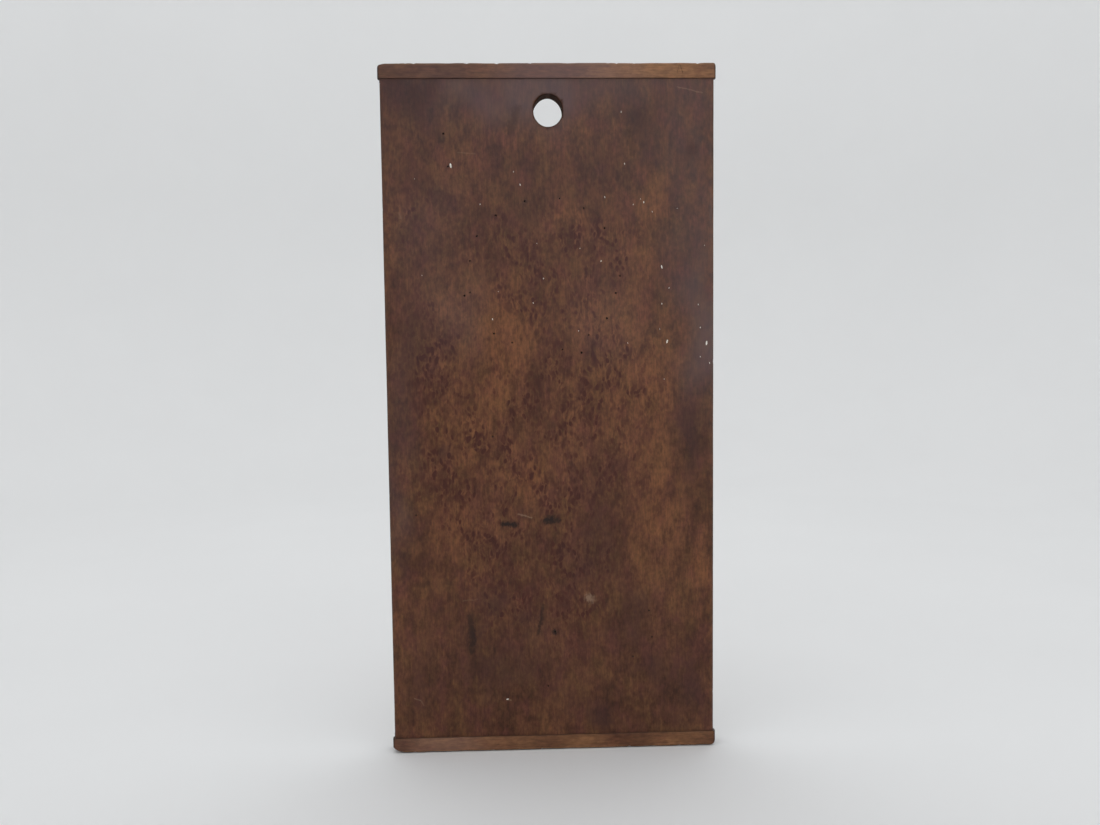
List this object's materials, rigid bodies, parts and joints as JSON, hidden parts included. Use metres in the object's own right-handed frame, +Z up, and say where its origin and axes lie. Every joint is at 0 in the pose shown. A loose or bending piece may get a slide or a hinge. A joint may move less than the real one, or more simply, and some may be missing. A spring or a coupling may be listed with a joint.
{
  "type": "transfer board",
  "caption": "Long rectangular hardwood board with a tongued panel, a grooved and nailed cleat across each end, and a hanging hole near the top.",
  "frame": {"origin": "centre of the hanging hole, in the plane of the cleats' backs, which is the wall it hangs against", "axes": "+Z up along the board's length, hole at the top; -Y out of the front face, +Y into the wall; +X to the viewer's right"},
  "size_m": [0.3174, 0.0205, 0.6604],
  "materials": {
    "panel_wood": "dark stained hardwood with mottled figure, old dull wax",
    "cleat_wood": "lighter orange-brown hardwood, grain across the board, rubbed edges",
    "old_paint": "small dried flecks of white wall paint",
    "nail_iron": "dark old iron with a little rust"
  },
  "bodies": {
    "root": {"panel": "panel_wood", "top_cleat": "cleat_wood", "bottom_cleat": "cleat_wood", "top_nail_1": "nail_iron", "top_nail_2": "nail_iron", "top_nail_3": "nail_iron", "top_nail_4": "nail_iron", "bottom_nail_1": "nail_iron", "bottom_nail_2": "nail_iron", "bottom_nail_3": "nail_iron", "bottom_nail_4": "nail_iron"}
  },
  "joints": []
}
